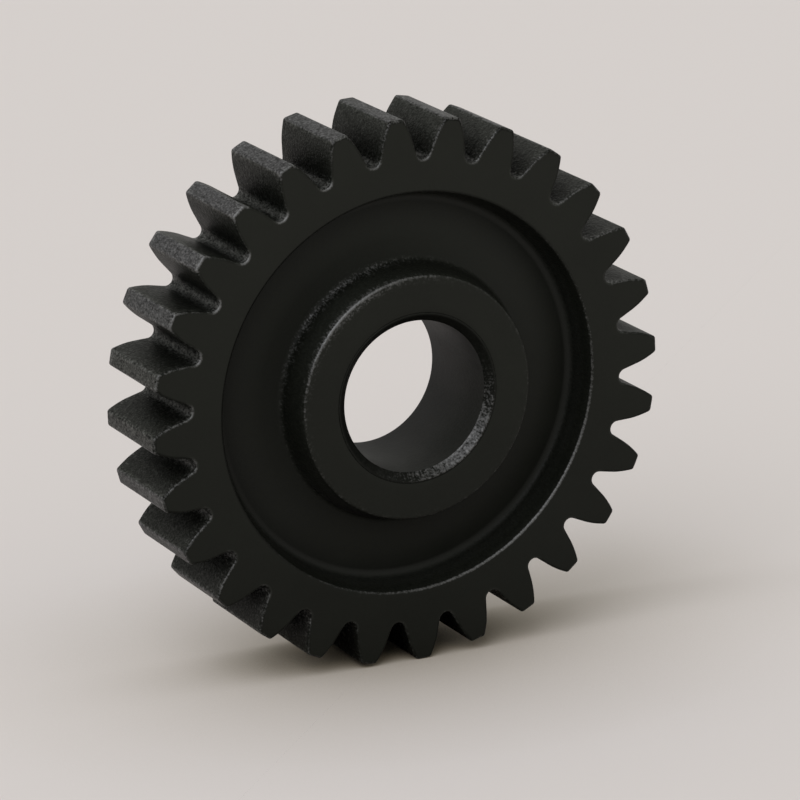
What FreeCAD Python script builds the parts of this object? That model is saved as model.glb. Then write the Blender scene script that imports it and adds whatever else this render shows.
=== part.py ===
import FreeCAD, Part
import Sketcher
import math
import os

# Spur gear wheel with a hub, a recessed web on both sides, and a plain sleeve in its bore.
# Frame: the origin is on the bore axis, half way along the hub.
# +Y runs along the bore from the proud face of the hub to the flush face, +Z is up.
# "Front" is the proud side (-Y), "back" is the flush side (+Y).

Vector = FreeCAD.Vector

doc = FreeCAD.newDocument("spur_gear")
sheet = doc.addObject("Spreadsheet::Sheet", "sizes")
cell_names = []


# ---------------------------------------------------------------- sizes
def add_cells(cells):
    """Append (alias, number or "=formula") rows to the sheet."""
    for alias, content in cells:
        cell_names.append(alias)
        row = len(cell_names)
        if not isinstance(content, str):
            content = str(round(content, 6))
        sheet.set("A%d" % row, alias)
        sheet.set("B%d" % row, content)
        sheet.setAlias("B%d" % row, alias)
    doc.recompute()


def val(alias):
    return float(getattr(sheet, alias))


add_cells([
    # teeth
    ("teeth", 28),
    ("modul", 3.0),
    ("press_angle", 20.0),
    ("tip_dia", "=modul * (teeth + 2)"),
    ("root_dia", "=modul * (teeth - 2.5)"),
    ("tooth_thick", 5.05),      # arc thickness on the pitch circle
    ("involute_start", 81.9),   # diameter: involute flank outside it, tangent line inside it
    ("space_overrun", 0.8),     # how far the tooth space is drawn beyond the tip circle
    ("gap_phase", 3.2143),      # first tooth space, degrees from +Z towards +X
    # rim, hub and web
    ("rim_width", 18.0),
    ("recess_dia", 66.0),
    ("hub_dia", 40.0),
    ("hub_length", 20.5),
    ("hub_proud", 2.5),         # how far the hub stands in front of the rim face
    ("web_drop_hub", 3.2),      # web floor below the rim face, at the hub
    ("web_drop_rim", 5.4),      # the same, at the rim: the floor is a shallow cone
    ("draft", 14.0),            # slope of the hub side and of the recess wall, degrees
    ("wheel_bore", 28.1),
    # edges of the wheel
    ("web_fillet", 1.3),
    ("edge_break", 0.5),
    ("tooth_break", 0.35),
    ("tip_break", 0.5),
    ("wheel_bore_break", 0.08),
    # bush
    ("bush_dia", 28.0),
    ("bush_bore", 25.0),
    ("bush_length", 20.6),
    ("bush_chamfer", 1.15),
    ("bush_break", 0.08),
])

# Corners of the two turned sections: radii, then places along Y.
draft_run = math.tan(math.radians(val("draft")))    # sideways run per mm of depth
hub_front_depth = val("hub_proud") + val("web_drop_hub")
add_cells([
    ("bore_radius", "=wheel_bore / 2"),
    ("hub_radius", "=hub_dia / 2"),
    ("hub_base_front", val("hub_dia") / 2 + hub_front_depth * draft_run),
    ("hub_base_back", val("hub_dia") / 2 + val("web_drop_hub") * draft_run),
    ("recess_base", val("recess_dia") / 2 - val("web_drop_rim") * draft_run),
    ("recess_radius", "=recess_dia / 2"),
    ("tip_radius", "=tip_dia / 2"),
    ("hub_front", "=-hub_length / 2"),
    ("hub_back", "=hub_length / 2"),
    ("rim_front", "=hub_front + hub_proud"),
    ("rim_back", "=rim_front + rim_width"),
    ("web_hub_front", "=rim_front + web_drop_hub"),
    ("web_rim_front", "=rim_front + web_drop_rim"),
    ("web_rim_back", "=rim_back - web_drop_rim"),
    ("web_hub_back", "=rim_back - web_drop_hub"),
    ("bush_inner", "=bush_bore / 2"),
    ("bush_outer", "=bush_dia / 2"),
    ("bush_front", "=-bush_length / 2"),
    ("bush_back", "=bush_length / 2"),
])


# ---------------------------------------------------------------- tooth space
# Points are (x, z), with the space centred on +Z. Only the right flank (+X) is worked out.
tooth_count = int(val("teeth"))
pitch_radius = val("modul") * tooth_count / 2
pressure = math.radians(val("press_angle"))
base_radius = pitch_radius * math.cos(pressure)


def involute(angle):
    return math.tan(angle) - angle


def flank_point(radius):
    """Point of the involute flank at this distance from the axis."""
    half_tooth = (val("tooth_thick") / (2 * pitch_radius) + involute(pressure)
                  - involute(math.acos(base_radius / radius)))
    half_space = math.pi / tooth_count - half_tooth
    return (radius * math.sin(half_space), radius * math.cos(half_space))


def circle_through(first, second, third):
    """Centre and radius of the circle through three points."""
    (ax, az), (bx, bz), (cx, cz) = first, second, third
    a_sq, b_sq, c_sq = ax * ax + az * az, bx * bx + bz * bz, cx * cx + cz * cz
    divisor = 2 * (ax * (bz - cz) + bx * (cz - az) + cx * (az - bz))
    x = (a_sq * (bz - cz) + b_sq * (cz - az) + c_sq * (az - bz)) / divisor
    z = (a_sq * (cx - bx) + b_sq * (ax - cx) + c_sq * (bx - ax)) / divisor
    return (x, z), math.hypot(ax - x, az - z)


# One arc stands in for the involute between these two radii.
start_radius = val("involute_start") / 2
end_radius = val("tip_radius") + val("space_overrun")
flank_mid = flank_point(start_radius)
flank_out = flank_point(end_radius)
flank_centre, flank_radius = circle_through(
    flank_mid, flank_point((start_radius + end_radius) / 2), flank_out)

# Below flank_mid the flank is the line tangent to that arc, down to a full-radius root.
floor_radius = val("root_dia") / 2
slope = math.atan2(flank_mid[1] - flank_centre[1], flank_centre[0] - flank_mid[0])
slope_sin, slope_cos = math.sin(slope), math.cos(slope)
root_radius = ((flank_mid[0] * slope_cos - (flank_mid[1] - floor_radius) * slope_sin)
               / (1 - slope_sin))
root_centre = (0.0, floor_radius + root_radius)
root_end = (root_radius * slope_cos, root_centre[1] - root_radius * slope_sin)

add_cells([
    ("root_radius", root_radius),
    ("root_end_x", root_end[0]), ("root_end_z", root_end[1]),
    ("flank_mid_x", flank_mid[0]), ("flank_mid_z", flank_mid[1]),
    ("flank_out_x", flank_out[0]), ("flank_out_z", flank_out[1]),
    ("flank_radius", flank_radius),
])


# ---------------------------------------------------------------- helpers
def origin_feature(body, role):
    return [f for f in body.Origin.OriginFeatures if f.Role == role][0]


def new_body(label):
    body = doc.addObject("PartDesign::Body", label)
    body.Label = label
    return body


def new_sketch(body, name, plane):
    sketch = body.newObject("Sketcher::SketchObject", name)
    sketch.AttachmentSupport = [(origin_feature(body, plane), "")]
    sketch.MapMode = "FlatFace"
    return sketch


def bind(sketch, name, kind, where, cell):
    """Add a named dimension driven by a cell. where: the geometry arguments."""
    index = sketch.addConstraint(Sketcher.Constraint(kind, *where, val(cell)))
    sketch.renameConstraint(index, name)
    sketch.setExpression("Constraints." + name, "sizes." + cell)


def bind_point(sketch, name, geo, pos, cell_x, cell_y):
    """Tie a point to the sketch origin. Its x is positive, its y may be negative."""
    bind(sketch, name + "_x", "DistanceX", (-1, 1, geo, pos), cell_x)
    if val(cell_y) >= 0:
        bind(sketch, name + "_y", "DistanceY", (-1, 1, geo, pos), cell_y)
        return
    # A distance has to be positive, so it is taken from the point up to the origin.
    index = sketch.addConstraint(
        Sketcher.Constraint("DistanceY", geo, pos, -1, 1, -val(cell_y)))
    sketch.renameConstraint(index, name + "_y")
    sketch.setExpression("Constraints." + name + "_y", "-(sizes." + cell_y + ")")


def turned(body, sketch_name, name, corners):
    """Revolve a closed polygon about Y. corners: (radius cell, Y cell)."""
    sketch = new_sketch(body, sketch_name, "XY_Plane")
    points = [Vector(val(cell_x), val(cell_y), 0) for cell_x, cell_y in corners]
    count = len(points)
    for i in range(count):
        sketch.addGeometry(Part.LineSegment(points[i], points[(i + 1) % count]), False)
    for i in range(count):
        sketch.addConstraint(Sketcher.Constraint("Coincident", i, 2, (i + 1) % count, 1))
    for i, (cell_x, cell_y) in enumerate(corners):
        bind_point(sketch, "corner%d" % i, i, 1, cell_x, cell_y)
    solid = body.newObject("PartDesign::Revolution", name)
    solid.Profile = sketch
    solid.ReferenceAxis = (sketch, ["V_Axis"])
    solid.Angle = 360.0
    doc.recompute()
    return solid


def ring_edges(shape, rings):
    """Names of the full circles about Y. rings: (radius cell, Y cell)."""
    names = []
    for radius_cell, y_cell in rings:
        found = []
        for i, edge in enumerate(shape.Edges):
            curve = edge.Curve
            if (isinstance(curve, Part.Circle)
                    and abs(curve.Radius - val(radius_cell)) < 1e-3
                    and abs(curve.Center.y - val(y_cell)) < 1e-3):
                found.append("Edge%d" % (i + 1))
        if not found:
            raise RuntimeError("no ring edge at %s, %s" % (radius_cell, y_cell))
        names += found
    return names


def dress(body, kind, name, base, edges, cell):
    """Fillet or chamfer the named edges of base by the size in a cell."""
    feature = body.newObject("PartDesign::" + kind, name)
    feature.Base = (base, edges)
    feature.setExpression({"Fillet": "Radius", "Chamfer": "Size"}[kind], "sizes." + cell)
    doc.recompute()
    return feature


def dress_rings(body, kind, name, base, rings, cell):
    return dress(body, kind, name, base, ring_edges(base.Shape, rings), cell)


# ---------------------------------------------------------------- gear wheel
def turned_wheel(wheel):
    """The wheel without its teeth."""
    blank = turned(wheel, "wheel_section", "wheel_blank", [
        ("bore_radius", "hub_front"),
        ("hub_radius", "hub_front"),
        ("hub_base_front", "web_hub_front"),
        ("recess_base", "web_rim_front"),
        ("recess_radius", "rim_front"),
        ("tip_radius", "rim_front"),
        ("tip_radius", "rim_back"),
        ("recess_radius", "rim_back"),
        ("recess_base", "web_rim_back"),
        ("hub_base_back", "web_hub_back"),
        ("hub_radius", "hub_back"),
        ("bore_radius", "hub_back"),
    ])
    corners = dress_rings(wheel, "Fillet", "web_corners", blank, [
        ("hub_base_front", "web_hub_front"), ("recess_base", "web_rim_front"),
        ("recess_base", "web_rim_back"), ("hub_base_back", "web_hub_back"),
    ], "web_fillet")
    breaks = dress_rings(wheel, "Fillet", "ring_breaks", corners, [
        ("hub_radius", "hub_front"), ("recess_radius", "rim_front"),
        ("recess_radius", "rim_back"), ("hub_radius", "hub_back"),
    ], "edge_break")
    return dress_rings(wheel, "Chamfer", "bore_break", breaks, [
        ("bore_radius", "hub_front"), ("bore_radius", "hub_back"),
    ], "wheel_bore_break")


def mirrored(point):
    return (-point[0], point[1])


def line(start, end):
    return Part.LineSegment(Vector(*start, 0), Vector(*end, 0))


def arc(centre, radius, start, end):
    """Arc counter-clockwise from start to end."""
    first, last = [math.atan2(p[1] - centre[1], p[0] - centre[0]) for p in (start, end)]
    if last < first:
        last += 2 * math.pi
    circle = Part.Circle(Vector(*centre, 0), Vector(0, 0, 1), radius)
    return Part.ArcOfCircle(circle, first, last)


def tooth_space_sketch(wheel):
    """Full-radius root, then a line and an arc on each flank, closed beyond the tip."""
    sketch = new_sketch(wheel, "tooth_space", "XZ_Plane")
    root, right_line, right_arc, outer, left_arc, left_line = range(6)
    start, end = 1, 2
    for shape in (
        arc(root_centre, root_radius, mirrored(root_end), root_end),
        line(flank_mid, root_end),
        arc(flank_centre, flank_radius, flank_out, flank_mid),
        line(flank_out, mirrored(flank_out)),
        arc(mirrored(flank_centre), flank_radius, mirrored(flank_mid), mirrored(flank_out)),
        line(mirrored(root_end), mirrored(flank_mid)),
    ):
        sketch.addGeometry(shape, False)
    for joint in (
        (root, end, right_line, end),
        (right_line, start, right_arc, end),
        (right_arc, start, outer, start),
        (outer, end, left_arc, end),
        (left_arc, start, left_line, end),
        (left_line, start, root, start),
    ):
        sketch.addConstraint(Sketcher.Constraint("Coincident", *joint))
    for pair in (
        (root, end, root, start),
        (right_line, start, left_line, end),
        (outer, start, outer, end),
    ):
        sketch.addConstraint(Sketcher.Constraint("Symmetric", *pair, -2))
    for name, geo, pos in (
        ("root_end", root, end),
        ("flank_mid", right_line, start),
        ("flank_out", outer, start),
    ):
        bind_point(sketch, name, geo, pos, name + "_x", name + "_z")
    bind(sketch, "root_radius", "Radius", (root,), "root_radius")
    bind(sketch, "flank_radius", "Radius", (right_arc,), "flank_radius")
    sketch.addConstraint(Sketcher.Constraint("Equal", right_arc, left_arc))
    doc.recompute()
    return sketch


def cut_teeth(wheel, solid):
    """Cut one tooth space and repeat it round the axis."""
    space = wheel.newObject("PartDesign::Pocket", "tooth_space_cut")
    space.Profile = tooth_space_sketch(wheel)
    space.Type = "ThroughAll"
    # Cut both ways from the sketch; the property depends on the FreeCAD version.
    if hasattr(space, "SideType"):
        space.SideType = "Symmetric"
    else:
        space.Midplane = True
    doc.recompute()
    one_cut = solid.Shape.Volume - space.Shape.Volume
    if one_cut < 100.0:
        raise RuntimeError("tooth space cut nothing: %g" % one_cut)

    teeth = wheel.newObject("PartDesign::PolarPattern", "teeth")
    teeth.Originals = [space]
    teeth.Axis = (origin_feature(wheel, "Y_Axis"), [""])
    teeth.Angle = 360.0
    teeth.setExpression("Occurrences", "sizes.teeth")
    wheel.Tip = teeth
    doc.recompute()
    cut_count = (solid.Shape.Volume - teeth.Shape.Volume) / one_cut
    if abs(cut_count - tooth_count) > 0.02:
        raise RuntimeError("pattern cut %g spaces" % cut_count)
    return teeth


def tip_edges(shape):
    """The long edges between the tip lands and the flanks."""
    names = []
    for i, edge in enumerate(shape.Edges):
        first, last = edge.Vertexes[0].Point, edge.Vertexes[-1].Point
        if (abs(abs(first.y - last.y) - val("rim_width")) < 1e-3
                and abs(math.hypot(first.x, first.z) - val("tip_radius")) < 1e-3):
            names.append("Edge%d" % (i + 1))
    if len(names) != 2 * tooth_count:
        raise RuntimeError("%d tip edges" % len(names))
    return names


def outline_edges(shape):
    """The tooth outline on both rim faces."""
    names = []
    for i, edge in enumerate(shape.Edges):
        points = [vertex.Point for vertex in edge.Vertexes]
        on_face = any(all(abs(p.y - val(face)) < 1e-3 for p in points)
                      for face in ("rim_front", "rim_back"))
        if on_face and min(math.hypot(p.x, p.z) for p in points) > floor_radius - 0.01:
            names.append("Edge%d" % (i + 1))
    return names


def make_wheel():
    wheel = new_body("gear_wheel")
    teeth = cut_teeth(wheel, turned_wheel(wheel))
    tips = dress(wheel, "Chamfer", "tip_breaks", teeth, tip_edges(teeth.Shape), "tip_break")
    wheel.Tip = tips
    outline = dress(wheel, "Chamfer", "outline_breaks", tips,
                    outline_edges(tips.Shape), "tooth_break")
    wheel.Tip = outline
    # The placement gives the axis of the turn, the sheet drives its angle.
    wheel.setExpression("Placement.Rotation.Angle", "sizes.gap_phase")
    turn = FreeCAD.Rotation(Vector(0, 1, 0), val("gap_phase"))
    wheel.Placement = FreeCAD.Placement(Vector(0, 0, 0), turn)
    doc.recompute()
    return wheel


# ---------------------------------------------------------------- bush
def make_bush():
    """Plain sleeve, chamfered at both ends of its bore and of its outside."""
    bush = new_body("bore_bush")
    tube = turned(bush, "bush_section", "bush_tube", [
        ("bush_inner", "bush_front"),
        ("bush_outer", "bush_front"),
        ("bush_outer", "bush_back"),
        ("bush_inner", "bush_back"),
    ])
    bore = dress_rings(bush, "Chamfer", "bore_chamfers", tube, [
        ("bush_inner", "bush_front"), ("bush_inner", "bush_back"),
    ], "bush_chamfer")
    outside = dress_rings(bush, "Chamfer", "outer_chamfers", bore, [
        ("bush_outer", "bush_front"), ("bush_outer", "bush_back"),
    ], "bush_break")
    bush.Tip = outside
    doc.recompute()
    return bush


# ---------------------------------------------------------------- check and write
def check(bodies):
    """Stop if a feature failed or a body is not one valid solid."""
    bad = [o.Name for o in doc.Objects if "Invalid" in o.State or "Error" in o.State]
    for body in bodies:
        shape = body.Shape
        if shape.isNull() or not shape.isValid() or len(shape.Solids) != 1:
            bad.append(body.Label + " shape")
    if bad:
        raise RuntimeError("failed: " + ", ".join(bad))


bodies = [make_wheel(), make_bush()]
check(bodies)
os.makedirs("parts", exist_ok=True)
for body in bodies:
    body.Shape.exportStep(os.path.join("parts", body.Label + ".step"))
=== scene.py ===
"""A blackened spur gear with a plain bush in its bore, standing on its teeth on a pale floor.

The axis of the gear is Y and passes through the origin; the front faces -Y and +Z is up.
Gear sizes are in mm and become metres when a mesh is made. Angles round the gear start at +Z
and run clockwise seen from the front, towards +X. A profile point is (radius, y).
"""
import math

import bpy
import numpy as np
from mathutils import Matrix, Vector, noise


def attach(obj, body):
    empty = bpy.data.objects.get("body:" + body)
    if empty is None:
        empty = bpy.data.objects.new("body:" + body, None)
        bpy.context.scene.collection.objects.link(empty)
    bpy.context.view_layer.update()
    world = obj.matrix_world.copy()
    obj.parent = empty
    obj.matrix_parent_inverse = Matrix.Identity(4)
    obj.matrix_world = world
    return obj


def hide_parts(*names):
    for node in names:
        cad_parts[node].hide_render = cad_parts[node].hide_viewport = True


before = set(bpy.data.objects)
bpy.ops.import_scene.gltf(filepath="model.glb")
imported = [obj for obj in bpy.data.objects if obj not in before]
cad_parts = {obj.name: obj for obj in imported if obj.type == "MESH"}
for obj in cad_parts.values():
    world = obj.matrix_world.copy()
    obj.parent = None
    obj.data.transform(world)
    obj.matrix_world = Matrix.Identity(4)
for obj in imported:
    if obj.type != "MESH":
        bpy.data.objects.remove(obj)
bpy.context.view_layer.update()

MM = 0.001

# ------------------------------------------------------------------ sizes (mm)
TEETH = 28
MODULE = 3.0
PRESSURE_ANGLE = math.radians(20.0)
PITCH = 2.0 * math.pi / TEETH            # angle from tooth to tooth
GAP_PHASE_DEG = 3.2143                   # middle of the first tooth space
R_PITCH = MODULE * TEETH / 2.0
R_BASE = R_PITCH * math.cos(PRESSURE_ANGLE)
R_TIP = 44.994
R_ROOT = R_PITCH - 1.25 * MODULE
R_INVOLUTE = 40.95                       # the flank is an involute above, straight below
TOOTH_THICK = 5.05                       # arc length on the pitch circle
ROOT_SLOPE = math.radians(19.32)         # straight part of the flank against the radius
TIP_ROUND = 0.60
TOOTH_EDGE = 0.32                        # break between tooth side and rim face
TOOTH_EDGE_TIP_EXTRA = 0.09

HUB0, HUB1 = -10.25, 10.25               # front and back of the hub
RIM0, RIM1 = -7.75, 10.25                # front and back of the rim
R_RECESS = 33.0
R_HUB = 20.0
R_WHEEL_BORE = 14.05
DROP_HUB, DROP_RIM = 3.2, 5.4            # depth of the web below the rim face, inner and outer
DRAFT = math.tan(math.radians(14.0))
H_FRONT = (RIM0 + DROP_HUB - HUB0) * DRAFT    # how far the hub foot spreads
H_BACK = DROP_HUB * DRAFT
R_BASE_WALL = R_RECESS - DROP_RIM * DRAFT
WEB_FILLET = 1.3
EDGE = 0.5
BORE_EDGE = 0.05

EDGE_STEPS = 5
SIDE_STEPS = 8
THINNING = 4                             # inside the teeth every fourth point is kept
PROFILE_STEP = 1.35
# rim face rings: radius, share of even spacing against the spacing of the tooth outline
RIM_RINGS = ((37.0, 0.0), (36.0, 0.35), (35.0, 0.75))
R_THINNED, R_PROFILE = 34.2, 34.0        # first thinned ring and the next one inwards

R_BUSH, R_BUSH_BORE = 14.0, 12.5
BUSH_HALF = 10.3
BUSH_CHAMFER = 1.15
BUSH_POINTS = 288
BUSH_STEP = 0.3


# ------------------------------------------------------------------ shared helpers
def rise(value, start, span):
    """0 up to start, 1 from start + span on."""
    return np.clip((value - start) / span, 0.0, 1.0)


def fall(value, end, span):
    """1 up to end - span, 0 from end on."""
    return np.clip((end - value) / span, 0.0, 1.0)


def fade(value, low, high, soft):
    return rise(value, low, soft) * fall(value, high, soft)


def patch(angles, centre, width, low=0.0):
    """A soft spot round the gear: 1 at centre, low far from it. centre and width in degrees."""
    away = (np.degrees(angles) - centre + 180.0) % 360.0 - 180.0
    return low + (1.0 - low) * np.exp(-(away / width) ** 2)


def wobble(x, z, scale, seed):
    return noise.noise(Vector((x * scale + seed, z * scale - seed * 0.7, seed * 1.3)))


def fillet(corner, to_last, to_next, radius, steps):
    """Rounds a corner between two unit directions. Returns the length it trims and the points."""
    turn = math.acos(max(-1.0, min(1.0, float(np.dot(to_last, to_next)))))
    trim = radius / math.tan(turn / 2.0)
    middle = to_last + to_next
    centre = corner + middle / np.linalg.norm(middle) * (radius / math.sin(turn / 2.0))
    first = corner + to_last * trim - centre
    last = corner + to_next * trim - centre
    start = math.atan2(first[1], first[0])
    sweep = math.atan2(last[1], last[0]) - start
    while sweep > math.pi:
        sweep -= 2 * math.pi
    while sweep < -math.pi:
        sweep += 2 * math.pi
    angles = [start + sweep * k / steps for k in range(steps + 1)]
    return trim, [(centre[0] + radius * math.cos(a), centre[1] + radius * math.sin(a))
                  for a in angles]


def rounded(corners):
    """corners: (radius, y, rounding, steps). Returns (radius, y, edge rubbing), above 0 only on
    small roundings.
    """
    out = []
    for i, (r, y, rounding, steps) in enumerate(corners):
        if rounding <= 0:
            out.append((r, y, 0.0))
            continue
        corner = np.array([r, y], float)
        to_last = np.array(corners[i - 1][:2], float) - corner
        to_next = np.array(corners[i + 1][:2], float) - corner
        to_last /= np.linalg.norm(to_last)
        to_next /= np.linalg.norm(to_next)
        _, points = fillet(corner, to_last, to_next, rounding, steps)
        for k, point in enumerate(points):
            wear_and_highlight = math.sin(math.pi * k / steps) if rounding < 1.0 else 0.0
            out.append((*point, wear_and_highlight))
    return out


def subdivide(profile, step):
    """Adds points so that no span is longer than step."""
    out = [profile[0]]
    for a, b in zip(profile[:-1], profile[1:]):
        parts = max(1, int(math.ceil(math.hypot(b[0] - a[0], b[1] - a[1]) / step)))
        for k in range(1, parts + 1):
            t = k / parts
            wear_and_highlight = b[2] if k == parts else 0.0
            out.append((a[0] + (b[0] - a[0]) * t, a[1] + (b[1] - a[1]) * t, wear_and_highlight))
    return out


def ring(radius, y, angles):
    return np.stack([radius * np.sin(angles), np.full(len(angles), y),
                     radius * np.cos(angles)], 1)


def grid_mesh(name, rows, material):
    """Skins rows of (points, edge rubbing with painted highlights, paleness with painted light and
    shade, cut) into a mesh that is closed both ways.

    Where the point count changes, one count is a whole multiple of the other.
    """
    rings, wears_and_highlights, pales, cuts = zip(*rows)
    co = np.concatenate(rings, 0) * MM
    count = [len(points) for points in rings]
    start = np.concatenate([[0], np.cumsum(count)])
    groups = []
    for a in range(len(rings)):
        b = (a + 1) % len(rings)
        step_a, step_b = max(1, count[a] // count[b]), max(1, count[b] // count[a])
        i = np.arange(min(count[a], count[b]))
        side_a = [start[a] + (i * step_a + t) % count[a] for t in range(step_a + 1)]
        side_b = [start[b] + (i * step_b + t) % count[b] for t in range(step_b + 1)]
        groups.append(np.stack(side_a + side_b[::-1], 1))
    flat = np.concatenate([faces.ravel() for faces in groups])
    total = np.concatenate([np.full(len(faces), faces.shape[1]) for faces in groups])

    mesh = bpy.data.meshes.new(name)
    mesh.vertices.add(len(co))
    mesh.vertices.foreach_set("co", co.astype(np.float32).ravel())
    mesh.loops.add(len(flat))
    mesh.loops.foreach_set("vertex_index", flat.astype(np.int32))
    mesh.polygons.add(len(total))
    mesh.polygons.foreach_set("loop_start", (np.cumsum(total) - total).astype(np.int32))
    mesh.polygons.foreach_set("loop_total", total.astype(np.int32))
    mesh.update(calc_edges=True)
    for layer, values in (("wear_and_highlight", wears_and_highlights), ("pale", pales), ("cut", cuts)):
        attribute = mesh.attributes.new(layer, "FLOAT", "POINT")
        attribute.data.foreach_set("value", np.concatenate(values).astype(np.float32))
    mesh.polygons.foreach_set("use_smooth", np.ones(len(total), bool))
    mesh.update()
    # the signed volume is positive when the normals point outward
    volume = 0.0
    for faces in groups:
        for t in range(1, faces.shape[1] - 1):
            cross = np.cross(co[faces[:, 0]], co[faces[:, t]])
            volume += float((cross * co[faces[:, t + 1]]).sum())
    if volume < 0:
        mesh.flip_normals()
    mesh.validate()
    obj = bpy.data.objects.new(name, mesh)
    bpy.context.scene.collection.objects.link(obj)
    mesh.materials.append(material)
    weighted = obj.modifiers.new("weighted", "WEIGHTED_NORMAL")
    weighted.mode = "FACE_AREA"
    weighted.weight = 100
    weighted.keep_sharp = False
    return obj


# ------------------------------------------------------------------ materials
class Shader:
    """A material with an empty node tree. A value may be a number, a tuple or a socket."""

    def __init__(self, name):
        self.mat = bpy.data.materials.new(name)
        self.mat.use_nodes = True
        self.tree = self.mat.node_tree
        self.tree.nodes.clear()

    def add(self, kind, inputs=None, **settings):
        node = self.tree.nodes.new(kind)
        for key, value in settings.items():
            setattr(node, key, value)
        for key, value in (inputs or {}).items():
            if isinstance(value, bpy.types.NodeSocket):
                self.tree.links.new(value, node.inputs[key])
            else:
                node.inputs[key].default_value = value
        return node

    def calc(self, operation, a, b=None, clamp=False):
        inputs = {0: a} if b is None else {0: a, 1: b}
        return self.add("ShaderNodeMath", inputs, operation=operation,
                        use_clamp=clamp).outputs[0]

    def ramp(self, factor, stops):
        node = self.add("ShaderNodeValToRGB", {"Fac": factor})
        elements = node.color_ramp.elements
        for element, (position, color) in zip(elements, (stops[0], stops[-1])):
            element.position = position
            element.color = color
        for position, color in stops[1:-1]:
            elements.new(position).color = color
        return node.outputs["Color"]

    def mix(self, factor, a, b):
        return self.add("ShaderNodeMix", {0: factor, 6: a, 7: b}, data_type="RGBA").outputs[2]

    def noise(self, vector, scale, detail, roughness):
        return self.add("ShaderNodeTexNoise", {"Vector": vector, "Scale": scale, "Detail": detail,
                                               "Roughness": roughness}).outputs["Fac"]

    def attribute(self, name):
        return self.add("ShaderNodeAttribute", attribute_name=name).outputs["Fac"]

    def occlusion(self, distance, **settings):
        return self.add("ShaderNodeAmbientOcclusion", {"Distance": distance},
                        **settings).outputs["AO"]

    def output(self, surface):
        self.add("ShaderNodeOutputMaterial", {"Surface": surface.outputs["BSDF"]})


BLACK_TINT = (0.975, 1.070, 0.81)
# tints of the pale places (scuffed tips and painted light) and of scuffed corners with painted
# highlights
PALE_AND_LIT_TINT = (1.0, 0.99, 1.0)
WORN_AND_HIGHLIGHT_TINT = (1.0, 1.0, 0.97)


def grey(value, tint=BLACK_TINT):
    return (value * tint[0], value * tint[1], value * tint[2], 1.0)


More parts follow.
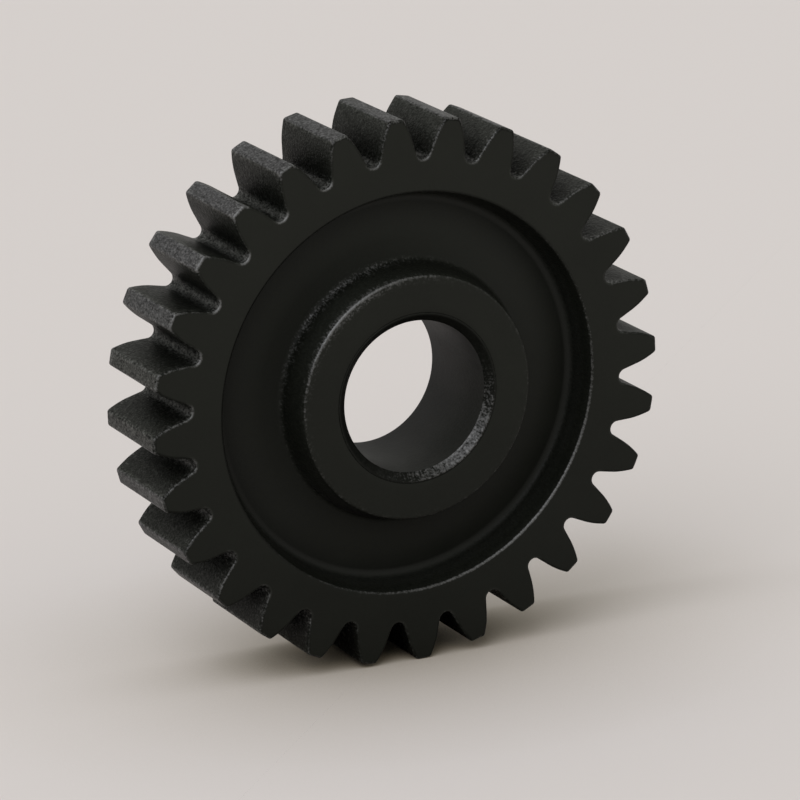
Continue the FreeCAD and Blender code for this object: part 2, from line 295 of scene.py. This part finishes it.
def black_metal(name, base, worn_and_highlight_grey, pale, face_grain, side_grain, bump_mm, rough, shine,
                corner_shade_power, sparkle, ragged):
    """Blackened, faintly grainy metal, smoother on faces across the axis than elsewhere.

    The two greys are the metal's own and that of scuffed corners with painted highlights; the gain
    acts where the pale attribute is 1, on tips paler from scuffing and on painted light and shade.
    The grains are contrasts, the corner power sets the painted corner shade, the sparkle the
    strength of bright specks and the raggedness the unevenness of scuffed corners and painted
    highlights.
    """
    m = Shader(name)
    coords = m.add("ShaderNodeTexCoord")
    # the grain is slightly drawn out along the axis
    vector = m.add("ShaderNodeVectorMath", {0: coords.outputs["Object"], 1: (1.0, 0.55, 1.0)},
                   operation="MULTIPLY").outputs[0]
    fine = m.noise(vector, scale=3300.0, detail=1.0, roughness=0.6)
    grit = m.noise(vector, scale=1700.0, detail=2.0, roughness=0.6)
    cloud = m.noise(vector, scale=75.0, detail=4.0, roughness=0.6)

    # 0 on surfaces that face along the axis, 1 on all others
    normal = m.add("ShaderNodeSeparateXYZ", {0: coords.outputs["Normal"]})
    facing = m.calc("ABSOLUTE", normal.outputs[1])
    side = m.add("ShaderNodeMapRange", {"Value": facing, "From Min": 0.95, "From Max": 0.60},
                 interpolation_type="SMOOTHSTEP").outputs["Result"]
    # grain contrast: full where cut is 1, a fifth where it is 0
    cut = m.attribute("cut")
    share = m.calc("MULTIPLY", side, m.calc("ADD", m.calc("MULTIPLY", cut, 0.8), 0.2))
    contrast = m.calc("ADD", m.calc("MULTIPLY", share, side_grain - face_grain), face_grain)

    # base colour: slow variation times grain
    slow = m.ramp(cloud, [(0.30, grey(base * 0.90)), (0.52, grey(base)),
                          (0.76, grey(base * 1.13))])
    grain = m.calc("ADD", m.calc("MULTIPLY", fine, 0.6), m.calc("MULTIPLY", grit, 0.4))
    swing = m.calc("MULTIPLY", m.calc("SUBTRACT", grain, 0.5), 7.0)
    gain = m.calc("ADD", m.calc("MULTIPLY", swing, contrast), 1.0)
    gain = m.calc("MAXIMUM", gain, 0.25)
    # tooth tips are paler, partly from scuffing and partly painted light; the pale attribute also
    # carries painted light and shade elsewhere, and painted shade darkens corners and parts near
    # the floor
    pale_and_painted_light = m.attribute("pale")
    lighter = m.calc("ADD", m.calc("MULTIPLY", pale_and_painted_light, pale - 1.0), 1.0)
    gain = m.calc("MULTIPLY", gain, lighter)
    # painted shade: corners and hollows are darkened by local occlusion
    corners = m.occlusion(7.0 * MM, samples=6, only_local=True)
    gain = m.calc("MULTIPLY", gain, m.calc("POWER", corners, corner_shade_power))
    # painted shade: parts near the floor and near other parts are darkened by wide occlusion
    painted_surround_shade = m.occlusion(0.11, samples=6)
    gain = m.calc("MULTIPLY", gain, m.calc("POWER", painted_surround_shade, 0.65))
    tone = m.mix(m.calc("MAXIMUM", pale_and_painted_light, 0.0), slow, grey(base, PALE_AND_LIT_TINT))
    color = m.add("ShaderNodeVectorMath", {0: tone, "Scale": gain}, operation="SCALE").outputs[0]

    # corners rubbed paler, unevenly, with painted highlights from the same attribute; bright specks
    # on the cut surfaces
    wear_and_highlight = m.attribute("wear_and_highlight")
    uneven = m.calc("MULTIPLY", m.calc("SUBTRACT", grain, 0.5), ragged)
    rub_and_highlight = m.calc("ADD", m.calc("MULTIPLY", wear_and_highlight, 1.3), uneven)
    rub_and_highlight = m.calc("SUBTRACT", rub_and_highlight, 0.055 * ragged)
    rub_and_highlight = m.calc("MULTIPLY", m.calc("MAXIMUM", rub_and_highlight, 0.0),
                 m.calc("MULTIPLY", wear_and_highlight, 6.0, clamp=True), clamp=True)
    spots = m.ramp(grain, [(0.53, (0, 0, 0, 1)), (0.64, (1, 1, 1, 1))])
    specks = m.calc("MULTIPLY", m.calc("MULTIPLY", side, cut), spots)
    specks = m.calc("MULTIPLY", specks, sparkle)
    bright = m.calc("ADD", rub_and_highlight, specks, clamp=True)
    color = m.mix(bright, color, grey(worn_and_highlight_grey, WORN_AND_HIGHLIGHT_TINT))

    # roughness drifts with the clouds and drops on bright spots
    drift = m.add("ShaderNodeMapRange", {"Value": cloud, "From Min": 0.3, "From Max": 0.7,
                                         "To Min": rough - 0.06, "To Max": rough + 0.06})
    roughness = m.calc("SUBTRACT", drift.outputs["Result"], m.calc("MULTIPLY", bright, 0.14))
    relief = m.calc("ADD", m.calc("MULTIPLY", side, 0.85), 0.15)
    bump = m.add("ShaderNodeBump", {"Distance": bump_mm * MM, "Strength": relief,
                                    "Height": grain})
    specular = m.calc("MULTIPLY", m.calc("MINIMUM", gain, 1.0), shine)
    specular = m.calc("ADD", m.calc("MULTIPLY", bright, 0.40), specular)
    m.output(m.add("ShaderNodeBsdfPrincipled", {
        "Base Color": color, "Roughness": roughness, "Normal": bump.outputs["Normal"],
        "Metallic": 0.0, "Specular IOR Level": specular}))
    return m.mat


MAT_GEAR = black_metal(
    "gear_black", base=0.0118, worn_and_highlight_grey=0.080, pale=3.1, face_grain=0.03, side_grain=0.85,
    bump_mm=0.12, rough=0.45, shine=0.15, corner_shade_power=0.28, sparkle=0.16, ragged=2.6)
MAT_BUSH = black_metal(
    "bush_dark", base=0.0090, worn_and_highlight_grey=0.085, pale=3.0, face_grain=0.03, side_grain=0.32,
    bump_mm=0.04, rough=0.50, shine=0.13, corner_shade_power=0.20, sparkle=0.0, ragged=3.0)


# ------------------------------------------------------------------ tooth outline, as (x, z)
def involute(angle):
    return math.tan(angle) - angle


def half_tooth(r):
    """Half the angle that a tooth spans at radius r."""
    at_base = TOOTH_THICK / (2.0 * R_PITCH) + involute(PRESSURE_ANGLE)
    return at_base - involute(math.acos(R_BASE / r))


def polar(r, angle):
    return (r * math.sin(angle), r * math.cos(angle))


def from_space(x, z):
    """Turns a point from the tooth space on +Z to the space after the tooth on +Z."""
    return polar(math.hypot(x, z), math.atan2(x, z) + PITCH / 2.0)


def half_outline():
    """From the middle of the tooth tip on +Z to the middle of the next tooth space."""
    tip_angle = half_tooth(R_TIP)
    corner = np.array(polar(R_TIP, tip_angle))
    below = R_TIP - 0.8
    down = np.array(polar(below, half_tooth(below))) - corner
    down /= np.linalg.norm(down)
    along = np.array([-math.cos(tip_angle), math.sin(tip_angle)])
    trim, tip_round = fillet(corner, along, down, TIP_ROUND, 6)
    land = tip_angle - trim / R_TIP
    points = [polar(R_TIP, land * k / 4.0) for k in range(5)]
    points += tip_round[1:]
    r_round = math.hypot(*(corner + down * trim))
    for k in range(1, 9):
        r = r_round + (R_INVOLUTE - r_round) * k / 8.0
        points.append(polar(r, half_tooth(r)))

    # straight part and full-radius root, drawn in the tooth space centred on +Z
    sin_slope, cos_slope = math.sin(ROOT_SLOPE), math.cos(ROOT_SLOPE)
    top = np.array(polar(R_INVOLUTE, PITCH / 2.0 - half_tooth(R_INVOLUTE)))
    root_radius = (top[0] * cos_slope - (top[1] - R_ROOT) * sin_slope) / (1.0 - sin_slope)
    root_z = R_ROOT + root_radius
    foot = np.array([root_radius * cos_slope, root_z - root_radius * sin_slope])
    for k in range(1, 5):
        point = top + (foot - top) * k / 4.0
        points.append(from_space(-point[0], point[1]))
    for k in range(1, 10):
        t = math.pi + ROOT_SLOPE + (math.pi / 2.0 - ROOT_SLOPE) * k / 9.0
        points.append(from_space(root_radius * math.cos(t), root_z + root_radius * math.sin(t)))
    return np.array(points)


def outline():
    """Angles and radii of all teeth, clockwise seen from the front."""
    half = half_outline()
    mirrored = half[::-1] * np.array([-1.0, 1.0])
    tooth = np.concatenate([mirrored[1:-1], half], 0)
    angle = np.arctan2(tooth[:, 0], tooth[:, 1])
    first = angle + math.radians(GAP_PHASE_DEG) + PITCH / 2.0
    angles = np.concatenate([first + i * PITCH for i in range(TEETH)])
    return angles, np.tile(np.hypot(tooth[:, 0], tooth[:, 1]), TEETH)


ANGLES, radii = outline()
COUNT = len(ANGLES)
OUTLINE = np.stack([radii * np.sin(ANGLES), radii * np.cos(ANGLES)], 1)
RADII = np.hypot(OUTLINE[:, 0], OUTLINE[:, 1])
tangent = np.roll(OUTLINE, -1, 0) - np.roll(OUTLINE, 1, 0)
tangent /= np.linalg.norm(tangent, axis=1)[:, None]
NORMAL = np.stack([-tangent[:, 1], tangent[:, 0]], 1)    # outward
# how far the normal points back round the wheel, anticlockwise from the front
BACKWARD = np.clip(NORMAL[:, 1] * np.sin(ANGLES) - NORMAL[:, 0] * np.cos(ANGLES), 0.0, 1.0)

# evenly spaced angles that stay close to those of the outline
EVEN = np.linspace(0.0, 2.0 * math.pi, COUNT, endpoint=False)
EVEN = EVEN - np.mean(EVEN - ANGLES)
ROUND = EVEN[::THINNING]


# ------------------------------------------------------------------ wheel: teeth
AT_TIP = rise(RADII, 43.9, 0.7)


def edge_sizes():
    """Slightly uneven edge breaks, front and back; the back lags by nine teeth."""
    uneven = np.array([1.0 + 0.16 * wobble(x, z, scale=0.45, seed=3.1)
                       + 0.10 * wobble(x, z, scale=1.7, seed=8.2) for x, z in OUTLINE])
    size = TOOTH_EDGE + TOOTH_EDGE_TIP_EXTRA * rise(RADII, 42.5, 2.2)
    largest = TIP_ROUND * 0.97
    return (np.minimum(size * uneven, largest),
            np.minimum(size * np.roll(uneven, COUNT // TEETH * 9), largest))


def edge_wear_and_highlight():
    """Faint scuffing on all tooth edges, painted highlights on edges facing up and brightest on the
    tips and root mouths at the upper left; the flanks hardly at all.
    """
    per_tooth = np.array([
        0.75 + 0.5 * wobble(math.floor((math.degrees(a) - GAP_PHASE_DEG) / (360.0 / TEETH)), 0.0,
                            scale=1.37, seed=5.0) for a in ANGLES])
    facing_up = np.clip(NORMAL[:, 1] * 0.8 - NORMAL[:, 0] * 0.6, 0.0, 1.0)
    raised = rise(facing_up, 0.60, 0.32) * (1.0 - rise(RADII, 43.6, 0.6))
    tips = AT_TIP * patch(ANGLES, centre=-48.0, width=34.0, low=0.10) * per_tooth
    roots = fall(RADII, 39.0, 0.5) * patch(ANGLES, centre=-48.0, width=42.0, low=0.06)
    edge_rub_and_highlight = 0.07 + 0.07 * facing_up + 0.24 * raised + tips + roots * 0.8
    return np.clip(edge_rub_and_highlight, 0.0, 1.0)


def outline_ring(inset, y):
    """The tooth outline moved in by inset; inset and y are numbers or one value per point."""
    p = OUTLINE - NORMAL * np.full(COUNT, inset)[:, None]
    return np.stack([p[:, 0], np.full(COUNT, y), p[:, 1]], 1)


def edge_rings(size, face_y, inward, edge_rub_and_highlight):
    """Quarter-round break from tooth side to face. inward is the way in along y, +1 or -1."""
    out = []
    for k in range(EDGE_STEPS + 1):
        t = (math.pi / 2.0) * k / EDGE_STEPS
        points = outline_ring(size * (1.0 - math.cos(t)),
                              face_y + inward * size * (1.0 - math.sin(t)))
        out.append((points, (0.30 + 0.70 * math.sin(2.0 * t)) * edge_rub_and_highlight))
    out.append((outline_ring(size + 0.14, face_y), 0.0))
    return out


def tooth_painted_light_and_shade(pale, radius, flank, on_edge):
    """Adds painted light and shade round the wheel to the pale tips: lands darker at the left,
    tooth edges on the faces darker at the left and near the top, faces turned back darker at the
    left, flanks turned back paler near the top, flanks darker, roots paler and most at the upper
    left.
    """
    pale = pale * (1.0 - 0.90 * patch(ANGLES, centre=-87.0, width=13.0))
    pale = pale - 0.13 * BACKWARD * patch(ANGLES, centre=-90.0, width=13.0)
    pale = pale + 0.18 * BACKWARD * flank * patch(ANGLES, centre=20.0, width=26.0)
    if on_edge:
        pale = (pale * (1.0 - 0.80 * patch(ANGLES, centre=12.0, width=42.0))
                * (1.0 - 0.45 * patch(ANGLES, centre=-96.0, width=24.0)))
        pale = pale - AT_TIP * (0.24 * patch(ANGLES, centre=10.0, width=34.0)
                                + 0.14 * patch(ANGLES, centre=-96.0, width=22.0))
    roots = 0.20 + 0.20 * patch(ANGLES, centre=-62.0, width=40.0)
    return pale - 0.10 * flank + roots * fall(radius, 39.6, 0.8)


def tooth_rows():
    """The toothed surface from the front face to the back face."""
    size_front, size_back = edge_sizes()
    edge_rub_and_highlight = edge_wear_and_highlight()
    rings = edge_rings(size_front, RIM0, +1.0, edge_rub_and_highlight)[::-1]
    for k in range(1, SIDE_STEPS):
        y = RIM0 + TOOTH_EDGE + (RIM1 - RIM0 - 2 * TOOTH_EDGE) * k / SIDE_STEPS
        rings.append((outline_ring(0.0, y), 0.0))
    rings += edge_rings(size_back, RIM1, -1.0, edge_rub_and_highlight)

    # the long edges of the tooth tips are rubbed too, where the outline bends
    bend = np.linalg.norm(np.roll(NORMAL, -1, 0) - np.roll(NORMAL, 1, 0), axis=1)
    tip_wear = 0.12 * bend / bend.max() * rise(RADII, R_TIP - 0.9, 0.8)
    last = len(rings) - 1
    rows = []
    for k, (points, wear_and_highlight) in enumerate(rings):
        radius = np.hypot(points[:, 0], points[:, 2])
        flank = rise(radius, 39.0, 0.8) * fall(radius, R_TIP - 0.2, 0.4)
        # tooth tips are paler, partly from scuffing and partly painted light
        pale = rise(radius, R_TIP - 0.35, 0.25)
        if 2 <= k <= last - 2:
            wear_and_highlight = np.maximum(wear_and_highlight, tip_wear)
        if 1 <= k <= last - 1:
            on_edge = k <= EDGE_STEPS or k >= last - EDGE_STEPS
            pale = tooth_painted_light_and_shade(pale, radius, flank, on_edge)
        cut = 1.0 - 0.74 * flank if k >= 1 else np.zeros(COUNT)
        rows.append((points, np.full(COUNT, wear_and_highlight), pale, cut))
    return rows


# ------------------------------------------------------------------ wheel: rim, web and hub
def face_profile(rim, hub, inward, foot_spread):
    """From the rim face over the web and the hub to mid-bore."""
    return subdivide(rounded([
        (R_THINNED, rim, 0, 0),
        (R_PROFILE, rim, 0, 0),
        (R_RECESS, rim, EDGE, 5),
        (R_BASE_WALL, rim + inward * DROP_RIM, WEB_FILLET, 9),
        (R_HUB + foot_spread, rim + inward * DROP_HUB, WEB_FILLET, 9),
        (R_HUB, hub, EDGE, 5),
        (R_WHEEL_BORE, hub, BORE_EDGE, 2),
        (R_WHEEL_BORE, 0.0, 0, 0),
    ]), PROFILE_STEP)


def round_wear_and_highlight(r, y, wear_and_highlight):
    """Painted highlights: on the hub edge, from its scuffing, and on the fillet at the hub foot,
    brightest at the upper left; on the recess edge, from its scuffing, at the lower right.
    """
    if abs(r - R_HUB) < 0.75 and (y < HUB0 + 1.1 or y > HUB1 - 1.1):
        least = 0.30 if abs(r - R_HUB) < 0.6 else 0.0
        return max(wear_and_highlight, least) * patch(ROUND, centre=-38.0, width=34.0, low=0.10)
    if abs(r - R_RECESS) < 0.7 and (y < RIM0 + 0.7 or y > RIM1 - 0.7):
        return wear_and_highlight * 0.85 * patch(ROUND, centre=138.0, width=48.0, low=0.05)
    off_web = min(abs(y - (RIM0 + DROP_HUB)), abs(y - (RIM1 - DROP_HUB)))
    foot = R_HUB + (H_FRONT if y < 0 else H_BACK)
    if off_web < 1.4 and abs(r - foot) < 1.6:
        near_foot = fall(abs(r - (foot + 0.05)), 0.80, 0.80)
        return 0.23 * near_foot * patch(ROUND, centre=-32.0, width=40.0, low=0.12)
    return np.zeros(len(ROUND))


def round_painted_light_and_shade(r, y):
    """Painted shade and light in the recess: the hub side darker, near the upper left only deep
    down, with a painted light patch at the lower left; the recess wall a little darker; the web
    paler, most towards the rim, and darker near the hub at the upper left; a dark band just inside
    the recess edge at the upper left.
    """
    pale = np.zeros(len(ROUND))
    low, high = -2.0, DROP_HUB - 0.55        # depths between which the hub side gets painted shade
    for rim, inward in ((RIM0, 1.0), (RIM1, -1.0)):
        depth = (y - rim) * inward
        if R_HUB - 0.05 < r < R_HUB + H_FRONT + 0.1 and low < depth < high:
            down = 0.35 + 0.65 * (depth - low) / (high - low)
            lift = 1.0 - (1.0 - down) * patch(ROUND, centre=-30.0, width=50.0)
            pale -= 0.11 * fade(depth, low, high, 0.6) * lift
            pale += 0.75 * patch(ROUND, centre=-156.0, width=30.0)
        if R_BASE_WALL - 0.1 < r < R_RECESS + 0.05 and 0.4 < depth < DROP_RIM - 0.7:
            pale -= 0.02 * fade(depth, 0.4, DROP_RIM - 0.7, 0.8)
        if R_HUB + H_FRONT - 0.5 < r < R_RECESS - 0.3 and 2.0 < depth < DROP_RIM + 0.1:
            pale += 0.13 + 0.08 * rise(r, 28.0, 2.5)
            pale -= 0.26 * fall(r, 28.5, 4.0) * patch(ROUND, centre=-50.0, width=72.0, low=0.05)
        if R_RECESS - 0.8 < r < R_RECESS + 0.42 and 0.01 < depth < 1.5:
            pale -= 0.30 * patch(ROUND, centre=-60.0, width=80.0)
    return pale


def rim_rows(y):
    """Flat rings on the rim face, from the teeth inwards."""
    plain = np.zeros(COUNT)
    return [(ring(r, y, ANGLES * (1 - even) + EVEN * even), plain, plain, plain)
            for r, even in RIM_RINGS]


def wheel_rows():
    front = face_profile(RIM0, HUB0, +1.0, H_FRONT)
    back = face_profile(RIM1, HUB1, -1.0, H_BACK)
    # both profiles end on the same mid-bore point, which is used once
    inside = [(ring(r, y, ROUND), round_wear_and_highlight(r, y, wear_and_highlight), round_painted_light_and_shade(r, y), np.zeros(len(ROUND)))
              for r, y, wear_and_highlight in back + front[::-1][1:]]
    return tooth_rows() + rim_rows(RIM1) + inside + rim_rows(RIM0)[::-1]


wheel = grid_mesh("gear_wheel_skin", wheel_rows(), MAT_GEAR)
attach(wheel, "wheel")
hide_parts("gear_wheel")


# ------------------------------------------------------------------ the bush
def bush_row(r, y, wear_and_highlight, angles):
    """Paints a highlight on the chamfers at the lower right and shade on the rest of them; the bore
    is painted paler towards the back.
    """
    plain = np.zeros(len(angles))
    r_mouth = R_BUSH_BORE + BUSH_CHAMFER
    if 12.45 < r < r_mouth + 0.05 and abs(y) > BUSH_HALF - BUSH_CHAMFER - 0.1:
        scuff_and_highlight = 0.68 if r < 12.75 else 0.52
        return (ring(r, y, angles), scuff_and_highlight * patch(angles, centre=141.0, width=42.0),
                -0.24 * (1.0 - patch(angles, centre=145.0, width=60.0)), plain + 1.0)
    pale = plain
    if r < 12.6:
        t = rise(y, -7.5, 15.0)
        pale = plain + 0.95 * t * t * (3.0 - 2.0 * t)
    return ring(r, y, angles), plain + 0.1 * wear_and_highlight, pale, plain


def bush_rows():
    r_mouth = R_BUSH_BORE + BUSH_CHAMFER
    chamfer_y = BUSH_HALF - BUSH_CHAMFER
    # the two end points only give the directions of the corners next to them
    profile = rounded([
        (13.0, -BUSH_HALF, 0, 0),
        (R_BUSH, -BUSH_HALF, 0.05, 2),
        (R_BUSH, BUSH_HALF, 0.05, 2),
        (r_mouth, BUSH_HALF, 0.10, 3),
        (R_BUSH_BORE, chamfer_y, 0.25, 4),
        (R_BUSH_BORE, -chamfer_y, 0.25, 4),
        (r_mouth, -BUSH_HALF, 0.10, 3),
        (13.8, -BUSH_HALF, 0, 0),
    ])[1:-1]
    angles = np.linspace(0.0, 2.0 * math.pi, BUSH_POINTS, endpoint=False)
    return [bush_row(r, y, wear_and_highlight, angles) for r, y, wear_and_highlight in subdivide(profile, BUSH_STEP)]


bush = grid_mesh("bore_bush_skin", bush_rows(), MAT_BUSH)
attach(bush, "bush")
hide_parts("bore_bush")

# ------------------------------------------------------------------ floor (metres from here on)
FLOOR_COLOR = (0.650, 0.610, 0.587)
FLOOR_HALF = 12.0
# powers of the painted contact shade in the floor colour, in red, green and blue: a little warmer
# than the open floor
SHADE_POWERS = (0.50, 0.56, 0.72)


def floor_material():
    m = Shader("floor")
    surface = m.add("ShaderNodeBsdfPrincipled", {
        "Base Color": (*FLOOR_COLOR, 1), "Roughness": 0.75, "Specular IOR Level": 0.2})
    m.output(surface)
    # painted shade: the floor colour is darkened by occlusion near the gear
    painted_floor_shade = m.occlusion(0.052, samples=8)
    shade = m.add("ShaderNodeCombineXYZ", {
        k: m.calc("POWER", painted_floor_shade, power) for k, power in enumerate(SHADE_POWERS)})
    color = m.add("ShaderNodeVectorMath", {0: FLOOR_COLOR, 1: shade.outputs[0]},
                  operation="MULTIPLY")
    m.tree.links.new(color.outputs[0], surface.inputs["Base Color"])
    return m.mat


floor_mat = floor_material()
floor_mesh = bpy.data.meshes.new("floor")
floor_mesh.from_pydata([(x * FLOOR_HALF, y * FLOOR_HALF, -R_TIP * MM)
                        for x, y in ((-1, -1), (1, -1), (1, 1), (-1, 1))], [], [(0, 1, 2, 3)])
floor = bpy.data.objects.new("floor", floor_mesh)
bpy.context.scene.collection.objects.link(floor)
floor_mesh.materials.append(floor_mat)

# ------------------------------------------------------------------ light and camera
scene = bpy.context.scene
world = bpy.data.worlds.new("studio")
scene.world = world
world.use_nodes = True
background = world.node_tree.nodes["Background"]
background.inputs["Color"].default_value = (1.0, 0.988, 0.935, 1)
background.inputs["Strength"].default_value = 0.64

# a wide, soft, slightly blue sun from the upper left front
SUN_TRAVEL = Vector((0.65, 0.31, -0.70))
sun_data = bpy.data.lights.new("key", "SUN")
sun_data.energy = 1.75
sun_data.color = (1.0, 1.02, 1.105)
sun_data.angle = math.radians(60.0)
sun = bpy.data.objects.new("key", sun_data)
scene.collection.objects.link(sun)
sun.rotation_mode = "QUATERNION"
sun.rotation_quaternion = SUN_TRAVEL.to_track_quat("-Z", "Y")

# the camera's own X (right), Y (up) and Z (backward) axes
CAMERA_AXES = (
    (0.891045, -0.453915, 0.000032),
    (0.129298, 0.253882, 0.958554),
    (-0.435111, -0.854110, 0.284911),
)
CAMERA_PLACE = Vector((-0.3387615, -0.6688829, 0.2198554))
camera_data = bpy.data.cameras.new("camera")
camera = bpy.data.objects.new("camera", camera_data)
scene.collection.objects.link(camera)
camera.matrix_world = (Matrix.Translation(CAMERA_PLACE)
                       @ Matrix(CAMERA_AXES).transposed().to_4x4())
camera_data.sensor_width = 36.0
camera_data.lens = 219.01275
camera_data.clip_start = 0.01
camera_data.clip_end = 100.0
scene.camera = camera
scene.view_settings.view_transform = "Standard"
scene.view_settings.look = "None"
